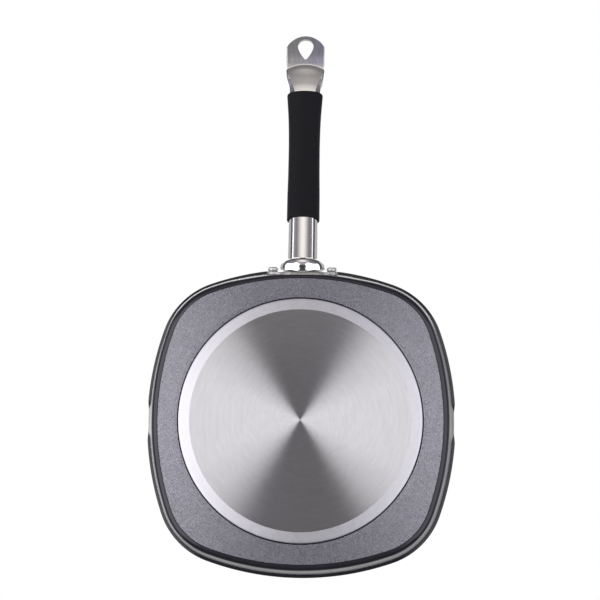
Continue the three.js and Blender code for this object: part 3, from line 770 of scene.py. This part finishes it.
def make_bracket():
    sh = Shell()
    count = 240
    ang, rad = wing_radius(count)
    ca, sa = np.cos(ang), np.sin(ang)
    z0 = BRACKET_Z

    def plate(r, w):
        return np.array([on_wall(r[i] * ca[i], z0 + r[i] * sa[i], w) for i in range(count)])

    prof = spline(BOSS_TABLE, 6)

    def boss(i, y):
        a, zb, zt = (float(np.interp(-y, -prof[:, 0], prof[:, k])) for k in (1, 2, 3))
        power = 1.08 - 0.11 * float(smooth(-142.5, -146.0, y))
        x = a * math.copysign(abs(ca[i]) ** power, ca[i])
        z = (zb + zt) / 2 + (zt - zb) / 2 * math.copysign(abs(sa[i]) ** power, sa[i])
        return np.array([x, y, z])

    face_w = GAP + WING_T
    foot_y, foot_r = [], []
    for i in range(count):
        lo, hi = -129.0, -144.0
        for _ in range(40):
            mid = (lo + hi) / 2
            if off_wall(boss(i, mid)) < face_w:
                lo = mid
            else:
                hi = mid
        p = boss(i, lo)
        foot_y.append(lo)
        foot_r.append(math.hypot(p[0], p[2] + face_w * math.sin(WALL_LEAN) - z0))
    foot_y, foot_r = np.array(foot_y), np.array(foot_r)

    rings = []
    for w, inset in ((GAP, 0.3), (GAP + 0.1, 0.08), (GAP + 0.3, 0.0), (GAP + 1.0, 0.3), (face_w - 0.7, 0.68), (face_w - 0.3, 0.86),
                     (face_w - 0.08, 1.0), (face_w, 1.2)):
        rings.append(plate(rad - inset, w))
    edge_r = rad - 1.2
    fil = 2.0
    foot_out = np.minimum(foot_r + fil, edge_r - 0.1)
    for f in (0.35, 0.7, 1.0):
        rings.append(plate(edge_r + (foot_out - edge_r) * f, face_w))
    satin = len(rings)
    start = rings[-1]
    corner = plate(np.minimum(foot_r, edge_r - 0.3), face_w)
    up_y = np.maximum(foot_y - fil, BOSS_FRONT_Y + 0.6)
    up = np.array([boss(i, up_y[i]) for i in range(count)])
    for f in (0.15, 0.3, 0.45, 0.6, 0.8, 1.0):
        rings.append((1 - f) ** 2 * start + 2 * f * (1 - f) * corner + f * f * up)
    for f in np.linspace(0, 1, 19)[1:]:
        g = 1 - (1 - f) ** 1.6
        rings.append(np.array([boss(i, up_y[i] + (BOSS_FRONT_Y - up_y[i]) * g) for i in range(count)]))
    y = BOSS_FRONT_Y
    trim = 2 * (TUBE_WALL + GAP)
    rings.append(upright(y - 0.03, 27.9, 22.2, ang, 0.97))
    rings.append(upright(y - 0.03, tube_width(y) - trim + 0.6, tube_thick(y) - trim + 0.6, ang))
    for d in (0.4, 8.0, 16.0, SPIGOT_LENGTH - 0.6):
        y = TUBE_FRONT_Y - d
        rings.append(upright(y, tube_width(y) - trim, tube_thick(y) - trim, ang))
    y = TUBE_FRONT_Y - SPIGOT_LENGTH
    rings.append(upright(y, tube_width(y) - trim - 1.0, tube_thick(y) - trim - 1.0, ang))
    rings.append(upright(y, tube_width(y) - trim - 4.4, tube_thick(y) - trim - 4.4, ang))
    for y in (TUBE_FRONT_Y - 10, TUBE_FRONT_Y + 2.0, -141.0):
        rings.append(upright(y, tube_width(y) - trim - 4.4, tube_thick(y) - trim - 4.4, ang))
    prev = None
    first = None
    for k, pts in enumerate(rings):
        cur = sh.ring(pts)
        if prev is None:
            first = cur
        else:
            sh.bridge(prev, cur, 1 if k < satin else 0)
        prev = cur
    sh.fan(prev, np.mean([sh.v[i] for i in prev], 0))
    back = first
    for f in (0.6, 0.25):
        cur = sh.ring(plate((rad - 0.3) * f, GAP))
        sh.bridge(back, cur, 1)
        back = cur
    sh.fan(back, on_wall(0, z0, GAP), 1)
    return sh.build("bracket_fine", [M_BOSS, M_PLATE], 40)


bracket = make_bracket()
cut(bracket, [rivet_cutter(-RIVET_X), rivet_cutter(RIVET_X)], 40)


# ---------------------------------------------------------------- handle tube
def even_section(a, b, power, count):
    """Points evenly spaced round a superellipse of half axes a, b, from +x."""
    q = np.linspace(0, 2 * math.pi, 4001)
    x = np.sign(np.cos(q)) * np.abs(np.cos(q)) ** power * a
    y = np.sign(np.sin(q)) * np.abs(np.sin(q)) ** power * b
    s = np.concatenate([[0], np.cumsum(np.hypot(np.diff(x), np.diff(y)))])
    want = s[-1] * np.arange(count) / count
    return np.interp(want, s, x), np.interp(want, s, y)


def flat_section(a, b, bevel, count):
    """Points round a flat bar of half sizes a, b with its four edges bevelled, from +x."""
    bevel = min(bevel, 0.8 * a)
    drop = min(bevel * 0.933, 0.9 * b)
    q = count // 4
    few = round(0.15 * q)
    px = np.concatenate([np.full(few, a), np.linspace(a, a - bevel, few, endpoint=False), np.linspace(a - bevel, 0, q - 2 * few + 1)])
    py = np.concatenate([np.linspace(0, b - drop, few, endpoint=False), np.linspace(b - drop, b, few, endpoint=False), np.full(q - 2 * few + 1, b)])
    return (np.concatenate([px[:q], -px[:0:-1], -px[:q], px[:0:-1]]), np.concatenate([py[:q], py[:0:-1], -py[:q], -py[:0:-1]]))


def tube_shape(y, count, grow=0.0, width=None):
    """Points round the tube: oval, then flat-faced with bevelled sides at the neck, thin and slightly crowned at the tongue."""
    w, h = (width or tube_width(y)) + grow, tube_thick(y) + grow
    neck = float(smooth(-290, -306, y))
    tongue = float(smooth(-323, -336, y))
    u, v = even_section(w / 2, h / 2, 0.92, count)
    bevel = 0.3 + 4.4 * min(max((y + 334) / 27, 0.0), 1.0)
    fu, fv = flat_section(w / 2, h / 2, bevel, count)
    u, v = u + (fu - u) * neck, v + (fv - v) * neck
    v = v * (1 - 0.11 * tongue * (u / 17.8) ** 2)
    return u, np.where(v > 0, v * (1 - 0.45 * tongue), v)


TAIL_C_Y = TUBE_TIP_Y + TAIL_ARC_R * math.cos(slope_at(HOLE_Y))


def ridge_line(x):
    """Y of the arched edge between the neck and the tongue."""
    return -337.2 + 4.0 * np.minimum(np.abs(x) / 16.0, 1.1) ** 2.2


def make_tube():
    sh = Shell()
    count = 160
    trim = 2 * TUBE_WALL
    cos_tail = math.cos(slope_at(HOLE_Y))
    ex = np.array([1.0, 0, 0])

    def lift(y):
        """Direction of the section's height: upright at the front, square to the axis further on."""
        f = float(smooth(-190, -160, y))
        c, t, n = axis_frame(y)
        return c, (1 - f) * n + f * np.array([0, 0, 1 / math.cos(slope_at(y))])

    def section(y):
        """Outer section at y, its width taken in where the tail is rounded off."""
        h, width = tube_thick(y), None
        run = (TAIL_C_Y - y) / cos_tail
        if run > 0:
            width = min(tube_width(y), max(2 * math.sqrt(max(TAIL_ARC_R ** 2 - run ** 2, 0.0)), 0.6))
        u, v = tube_shape(y, count, 0.0, width)
        if y < -300:
            # the neck falls away from an arched edge across the tongue
            f = float(smooth(-300, -312, y))
            v = v * np.array([tube_thick(y - f * (ridge_line(x) - ridge_line(0.0))) for x in u]) / h
        c, up = lift(y)
        return c + u[:, None] * ex + v[:, None] * up

    inner_end = -316.0
    rings = []
    for y in (inner_end, -312, -300, -280, -240, -200, -170, -152, TUBE_FRONT_Y - 0.3):
        w, h = tube_width(y) - trim, tube_thick(y) - trim
        c, up = lift(y)
        u, v = even_section(w / 2, h / 2, 0.92, count)
        rings.append(c + u[:, None] * ex + v[:, None] * up)
    y = TUBE_FRONT_Y
    for shrink, dy in ((trim - 0.5, 0.0), (0.7, 0.0), (0.2, -0.14), (0.0, -0.45)):
        w, h = tube_width(y) - shrink, tube_thick(y) - shrink
        c, up = lift(y + dy)
        u, v = even_section(w / 2, h / 2, 0.92, count)
        rings.append(c + u[:, None] * ex + v[:, None] * up)
    ys = [TUBE_FRONT_Y - 0.6, TUBE_FRONT_Y - 0.9] + list(np.linspace(TUBE_FRONT_Y - 2, -182, 14)) + list(np.linspace(-190, -300, 20)) + list(np.linspace(-302, -329, 28))
    ys += list(np.linspace(-329.4, -341.0, 48)) + list(np.linspace(-342, TAIL_C_Y, 6))
    ys += [TAIL_C_Y - TAIL_ARC_R * cos_tail * math.sin(a) for a in np.linspace(0.06, math.pi / 2 - 0.012, 40)]
    rings += [section(y) for y in ys]
    prev = None
    for pts in rings:
        cur = sh.ring(pts)
        if prev is None:
            sh.fan(cur, axis_frame(inner_end)[0])
        else:
            sh.bridge(prev, cur)
        prev = cur
    sh.fan(prev, np.mean([sh.v[i] for i in prev], 0))
    return sh.build("handle_tube_fine", [M_POLISHED], 40)


def hole_cutter():
    sh = Shell()
    a = math.acos(HOLE_R / HOLE_POINT)
    pts = []
    corner = np.array([HOLE_R * math.sin(a), -HOLE_R * math.cos(a)])
    point = np.array([0.0, -HOLE_POINT])
    side = lambda f: np.array([corner[0] * (1 - f ** 1.35), corner[1] + (point[1] - corner[1]) * f])
    for f in np.linspace(1, 0, 14, endpoint=False):
        pts.append(side(f))
    for q in np.linspace(a - math.pi / 2, 1.5 * math.pi - a, 48):
        pts.append(HOLE_R * np.array([math.cos(q), math.sin(q)]))
    for f in np.linspace(0, 1, 15)[1:-1]:
        pts.append(side(f) * np.array([-1.0, 1.0]))
    pts = np.array(pts)
    # soften the point
    for _ in range(2):
        pts = 0.25 * np.roll(pts, 1, 0) + 0.5 * pts + 0.25 * np.roll(pts, -1, 0)
    tang = np.roll(pts, -1, 0) - np.roll(pts, 1, 0)
    nrm = np.stack([tang[:, 1], -tang[:, 0]], 1) / np.linalg.norm(tang, axis=1)[:, None]
    c, t, n = axis_frame(HOLE_Y)
    prev = None
    levels = [(-8, 0.6), (-3.1, 0.45), (-2.8, 0.2), (-2.5, 0.06), (-2.0, 0.0), (0.8, 0.0), (1.25, 0.06), (1.5, 0.2), (1.75, 0.45), (8, 0.6)]
    for h, grow in levels:
        q = pts + nrm * grow
        cur = sh.ring([c + x * np.array([1.0, 0, 0]) + y * t + h * n for x, y in q])
        if prev is None:
            sh.face(cur)
        else:
            sh.bridge(prev, cur)
        prev = cur
    sh.face(prev)
    return sh.build("cutter", [M_POLISHED])


tube = make_tube()
cut(tube, [hole_cutter()], 40)


# ---------------------------------------------------------------- grip
def make_grip():
    sh = Shell()
    count = 128
    ang = 2 * math.pi * np.arange(count) / count
    f, r = GRIP_FRONT_Y, GRIP_REAR_Y
    rings = []

    def outer(y, inset):
        rings.append(oval(y, grip_width(y) - 2 * inset, grip_thick(y) - 2 * inset, ang))

    def inner(y, grow=0.0):
        c, t, n = axis_frame(y)
        u, v = tube_shape(y, count, 2 * GAP + grow)
        rings.append(c + u[:, None] * np.array([1.0, 0, 0]) + v[:, None] * n)

    inner(f - 0.5)
    inner(f - 0.12, 0.2)
    inner(f, 0.7)
    outer(f, 0.75)
    outer(f - 0.12, 0.32)
    outer(f - 0.4, 0.07)
    outer(f - 0.9, 0.0)
    for y in np.linspace(f - 3, r + 3, 48):
        outer(y, 0.0)
    outer(r + 1.6, 0.0)
    outer(r + 0.9, 0.12)
    outer(r + 0.4, 0.38)
    outer(r + 0.12, 0.78)
    outer(r, 1.25)
    inner(r, 0.5)
    inner(r + 0.2, 0.1)
    inner(r + 0.6)
    for y in np.linspace(r + 6, f - 6, 24):
        inner(y)
    ids = [sh.ring(p) for p in rings]
    for a, b in zip(ids, ids[1:] + ids[:1]):
        sh.bridge(a, b)
    return sh.build("grip_fine", [M_GRIP], 50)


grip = make_grip()


# ---------------------------------------------------------------- rivets
def make_rivet(x, name):
    lo = -WALL_T / 2 - GAP
    hi = WALL_T / 2 + GAP + WING_T + GAP
    R, H = RIVET_HEAD_R, RIVET_HEAD_H
    p = [(0, lo - RIVET_INNER_H), (2.0, lo - RIVET_INNER_H + 0.05), (3.6, lo - RIVET_INNER_H + 0.25), (4.7, lo - RIVET_INNER_H + 0.65),
         (5.4, lo - RIVET_INNER_H + 1.15), (5.75, lo - 0.55), (RIVET_INNER_R, lo - 0.25), (5.7, lo), (RIVET_SHANK_R, lo), (RIVET_SHANK_R, hi),
         (R - 0.2, hi), (R, hi + 0.2), (R, hi + H - 1.7), (R - 0.12, hi + H - 1.15), (R - 0.45, hi + H - 0.65), (R - 1.0, hi + H - 0.3),
         (R - 1.8, hi + H - 0.12), (R - 3.0, hi + H - 0.02), (0, hi + H)]
    return lathe(p, 48, [0] * (len(p) - 1), rivet_axis(x)).build(name, [M_RIVET], 45)


rivet_l = make_rivet(-RIVET_X, "rivet_left_fine")
rivet_r = make_rivet(RIVET_X, "rivet_right_fine")

for piece, name, slot in ((body, "pan_body", "coated_body"), (cap, "base_steel_cap", "base_steel"), (bracket, "handle_bracket", "polished_steel"),
                          (tube, "handle_tube", "polished_steel"), (grip, "grip_sleeve", "grip_silicone"),
                          (rivet_l, "rivet_left", "rivet_steel"), (rivet_r, "rivet_right", "rivet_steel")):
    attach(piece, "root")
    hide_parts(name)
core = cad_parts["base_core_disc"]
core.data.materials.clear()
core.data.materials.append(M_CORE)


# ---------------------------------------------------------------- camera
def rotation(v):
    a = float(np.linalg.norm(v))
    k = np.array(v) / a
    K = np.array([[0, -k[2], k[1]], [k[2], 0, -k[0]], [-k[1], k[0], 0]])
    return np.eye(3) + math.sin(a) * K + (1 - math.cos(a)) * K @ K


R = rotation(np.radians([-6.34, 1.1509, 0.5595]))
T = np.array([0.0891, 105.5198, 1504.9448])
eye = -R.T @ T * 0.001
right, up, back = R.T @ [1, 0, 0], -(R.T @ [0, 1, 0]), -(R.T @ [0, 0, 1])
cam_data = bpy.data.cameras.new("camera")
cam_data.sensor_width = 36.0
cam_data.lens = 102.6237
cam_data.clip_start, cam_data.clip_end = 0.05, 50.0
cam_data.dof.use_dof = False
cam = bpy.data.objects.new("camera", cam_data)
m = Matrix.Identity(4)
for i in range(3):
    m[i][0], m[i][1], m[i][2], m[i][3] = right[i], up[i], back[i], eye[i]
cam.matrix_world = m
scene.collection.objects.link(cam)
scene.camera = cam


# ---------------------------------------------------------------- studio
def make_world():
    """A white studio: white above and behind, two long softboxes low on the left and right, a small warm one low at the handle end."""
    world = bpy.data.worlds.new("studio")
    scene.world = world
    world.use_nodes = True
    nt = world.node_tree
    nt.nodes.clear()
    sep = nt.nodes.new("ShaderNodeSeparateXYZ")
    link(nt, nt.nodes.new("ShaderNodeTexCoord").outputs["Generated"], sep.inputs[0])
    x, y, z = sep.outputs
    down = math_node(nt, "MAXIMUM", math_node(nt, "MULTIPLY", z, -1.0), 0.02)
    u = math_node(nt, "DIVIDE", x, down)
    v = math_node(nt, "DIVIDE", y, down)
    below = step_node(nt, z, -0.02, 0.02, 1.0, 0.0)

    def band(value, lo, hi, soft):
        return math_node(nt, "MULTIPLY", step_node(nt, value, lo - soft, lo + soft), step_node(nt, value, hi - soft, hi + soft, 1.0, 0.0))

    def product(*parts):
        out = parts[0]
        for p in parts[1:]:
            out = math_node(nt, "MULTIPLY", out, p)
        return out

    total = None

    def add(mask, colour):
        nonlocal total
        c = mix_colour(nt, mask, (0.0, 0.0, 0.0), colour)
        if total is None:
            total = c
        else:
            n = nt.nodes.new("ShaderNodeVectorMath")
            n.operation = "ADD"
            link(nt, total, n.inputs[0])
            link(nt, c, n.inputs[1])
            total = n.outputs[0]

    neg_u = math_node(nt, "MULTIPLY", u, -1.0)
    far = math_node(nt, "SQRT", math_node(nt, "ADD", math_node(nt, "MULTIPLY", u, u), math_node(nt, "MULTIPLY", v, v)))
    abs_u, abs_v = math_node(nt, "ABSOLUTE", u), math_node(nt, "ABSOLUTE", v)
    # wedge: the boxes open out from the camera, then keep a steady height
    lean = math_node(nt, "DIVIDE", abs_v, math_node(nt, "MAXIMUM", abs_u, 0.01))
    tall = math_node(nt, "MAXIMUM", math_node(nt, "MULTIPLY", abs_u, 0.62), 0.75)
    reach = math_node(nt, "MAXIMUM", math_node(nt, "MULTIPLY", v, -1.0), math_node(nt, "MULTIPLY", v, 0.66))
    wedge = product(step_node(nt, z, -0.22, -0.165, 1.0, 0.0), step_node(nt, far, 0.26, 0.34), step_node(nt, lean, 1.38, 1.49, 1.0, 0.0), step_node(nt, abs_u, 0.2, 0.31),
                    step_node(nt, math_node(nt, "DIVIDE", reach, tall), 0.9, 1.08, 1.0, 0.0))
    add(product(wedge, step_node(nt, neg_u, -0.02, 0.02)), (3.0, 2.96, 3.02))
    add(product(wedge, step_node(nt, u, -0.02, 0.02)), (2.15, 2.13, 2.2))
    # warm light at the handle end, weaker further out
    top = product(below, step_node(nt, v, -0.77, -0.66, 1.0, 0.0))
    near = product(top, step_node(nt, v, -1.5, -0.95))
    add(product(near, step_node(nt, abs_u, 0.0, 0.5, 1.0, 0.0)), (0.32, 0.3, 0.28))
    add(product(near, step_node(nt, abs_u, 0.0, 0.9, 1.0, 0.0)), (0.69, 0.645, 0.60))
    add(product(top, step_node(nt, abs_u, 0.7, 2.2, 1.0, 0.0), step_node(nt, v, -4.0, -2.4)), (0.17, 0.165, 0.16))
    # faint grey fill before and behind the camera
    ahead = product(below, step_node(nt, abs_u, 0.3, 0.6, 1.0, 0.0))
    front = product(ahead, step_node(nt, v, -0.45, -0.15, 1.0, 0.0), step_node(nt, v, -0.9, -0.7))
    add(product(front, step_node(nt, u, -0.07, 0.02, 1.0, 0.0)), (0.265, 0.268, 0.27))
    add(product(front, step_node(nt, u, -0.07, 0.02)), (0.25, 0.24, 0.33))
    add(product(ahead, step_node(nt, v, -0.52, -0.42), step_node(nt, v, -0.3, -0.1, 1.0, 0.0)), (0.27, 0.27, 0.275))
    add(product(ahead, step_node(nt, v, 0.25, 0.6), step_node(nt, v, 1.0, 1.6, 1.0, 0.0)), (0.15, 0.15, 0.155))
    # dim fill on either side of it
    side = product(below, step_node(nt, abs_u, 0.5, 0.9), step_node(nt, v, -1.1, -0.85, 1.0, 0.0), step_node(nt, lean, 0.8, 1.1, 1.0, 0.0))
    add(product(side, step_node(nt, neg_u, 0.0, 0.2)), (0.19, 0.172, 0.225))
    add(product(side, step_node(nt, u, 0.0, 0.2)), (0.11, 0.105, 0.12))
    # dark low surroundings, white above, starting higher on the far side
    far_high = step_node(nt, y, 0.2, 0.7, 0.0, -0.28)
    above = step_node(nt, math_node(nt, "ADD", z, far_high), 0.12, 0.24)
    # overhead it is brightest towards the left
    slant = math_node(nt, "MULTIPLY_ADD", y, 0.3, x)
    gain = math_node(nt, "MULTIPLY_ADD", step_node(nt, z, 0.86, 0.95), step_node(nt, slant, -0.36, -0.12, 0.42, -0.13), 0.5)
    add(product(above, gain, step_node(nt, y, -0.2, 0.0, 0.72, 1.0)), (1.56, 1.56, 1.58))
    aside = math_node(nt, "DIVIDE", math_node(nt, "MULTIPLY", y, -1.0), math_node(nt, "MAXIMUM", math_node(nt, "ABSOLUTE", x), 0.05))
    add(product(step_node(nt, aside, 0.65, 0.95), step_node(nt, z, 0.45, 0.7), step_node(nt, x, -0.5, 0.5, 1.0, 0.38)), (1.9, 1.9, 1.9))
    add(step_node(nt, z, -0.3, -0.14, 1.0, 0.5), (0.07, 0.066, 0.075))
    seen = node(nt, "ShaderNodeBackground", in_Strength=1.0)
    seen.inputs["Color"].default_value = (1.0, 1.0, 1.0, 1.0)
    lit = node(nt, "ShaderNodeBackground", in_Strength=1.0)
    link(nt, total, lit.inputs["Color"])
    path = nt.nodes.new("ShaderNodeLightPath")
    mix = nt.nodes.new("ShaderNodeMixShader")
    link(nt, path.outputs["Is Camera Ray"], mix.inputs[0])
    link(nt, lit.outputs[0], mix.inputs[1])
    link(nt, seen.outputs[0], mix.inputs[2])
    out = nt.nodes.new("ShaderNodeOutputWorld")
    link(nt, mix.outputs[0], out.inputs[0])


make_world()


def area_light(name, where, at, size, power, colour=(1, 1, 1)):
    d = bpy.data.lights.new(name, "AREA")
    d.shape = "RECTANGLE"
    d.size, d.size_y = size
    d.energy = power
    d.color = colour
    ob = bpy.data.objects.new(name, d)
    ob.location = where
    ob.rotation_euler = (Vector(at) - Vector(where)).to_track_quat("-Z", "Y").to_euler()
    ob.visible_camera = False
    scene.collection.objects.link(ob)
    return ob


area_light("key_above", (-0.9, -0.7, 1.5), (0, -0.1, 0.03), (0.9, 0.9), 22).visible_glossy = False


def make_floor():
    """Pale floor under the pan, seen from above only."""
    me = bpy.data.meshes.new("floor")
    n = 96
    ring = [(4.0 * math.cos(2 * math.pi * i / n), -0.1 + 4.0 * math.sin(2 * math.pi * i / n), -0.0004) for i in range(n)]
    me.from_pydata(ring, [], [tuple(range(n))])
    mat = bpy.data.materials.new("pale_floor")
    mat.use_nodes = True
    nt = mat.node_tree
    nt.nodes.clear()
    co = object_coords(nt)
    dist = nt.nodes.new("ShaderNodeVectorMath")
    dist.operation = "LENGTH"
    link(nt, co, dist.inputs[0])
    tone = mix_colour(nt, noise(nt, co, 9.0, 3.0, 0.6), (0.80, 0.80, 0.80), (0.84, 0.84, 0.84))
    diff = nt.nodes.new("ShaderNodeBsdfDiffuse")
    link(nt, tone, diff.inputs[0])
    clear = nt.nodes.new("ShaderNodeBsdfTransparent")
    fade = step_node(nt, dist.outputs["Value"], 0.5, 2.2)
    geo = nt.nodes.new("ShaderNodeNewGeometry")
    gone = math_node(nt, "MAXIMUM", fade, geo.outputs["Backfacing"])
    mix = nt.nodes.new("ShaderNodeMixShader")
    link(nt, gone, mix.inputs[0])
    link(nt, diff.outputs[0], mix.inputs[1])
    link(nt, clear.outputs[0], mix.inputs[2])
    out = nt.nodes.new("ShaderNodeOutputMaterial")
    link(nt, mix.outputs[0], out.inputs[0])
    me.materials.append(mat)
    ob = bpy.data.objects.new("floor", me)
    scene.collection.objects.link(ob)
    ob.visible_diffuse = ob.visible_glossy = ob.visible_transmission = ob.visible_shadow = False


make_floor()
